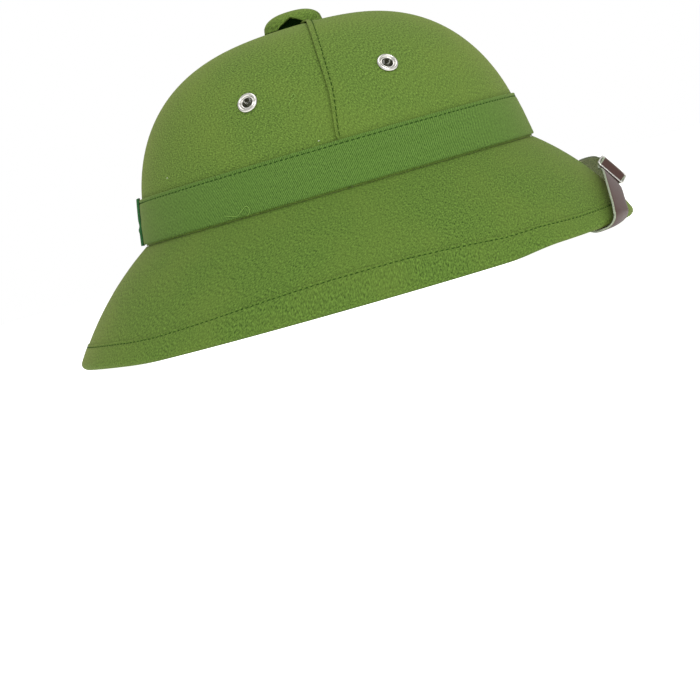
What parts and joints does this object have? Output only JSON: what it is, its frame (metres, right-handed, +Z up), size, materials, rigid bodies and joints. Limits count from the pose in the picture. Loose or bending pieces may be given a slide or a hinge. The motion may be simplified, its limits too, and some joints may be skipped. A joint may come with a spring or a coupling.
{
  "type": "pith helmet",
  "caption": "Cloth-covered sun helmet with a domed crown, sloping brim, cloth band, vent cap, eyelets and a strap over the front of the brim.",
  "frame": {"origin": "on the surface the brim stands on, midway between the front and rear tips of the brim", "axes": "+X towards the front of the helmet, +Y to the wearer's left, +Z up"},
  "size_m": [0.33, 0.278, 0.1684],
  "materials": {
    "moulded_pith": "rough moulded pith board, dull grey-green",
    "green_cloth": "matt woven cotton in mid green",
    "band_cloth": "matt cotton twill, a little darker than the cover",
    "leatherette": "glossy dark brown coated strap with a pale woven back",
    "nickel_plate": "bright nickel-plated steel"
  },
  "bodies": {
    "root": {"shell": "moulded_pith", "crown_cloth_rear": "green_cloth", "crown_cloth_front": "green_cloth", "brim_cloth": "green_cloth", "brim_binding": "green_cloth", "band": "band_cloth", "band_rear_tab": "band_cloth", "vent_cap": "green_cloth", "eyelet_front_right": "nickel_plate", "eyelet_rear_right": "nickel_plate", "eyelet_front_left": "nickel_plate", "eyelet_rear_left": "nickel_plate", "chin_strap": "leatherette", "buckle_frame": "nickel_plate", "strap_anchor_right": "nickel_plate", "strap_anchor_left": "nickel_plate"}
  },
  "joints": []
}
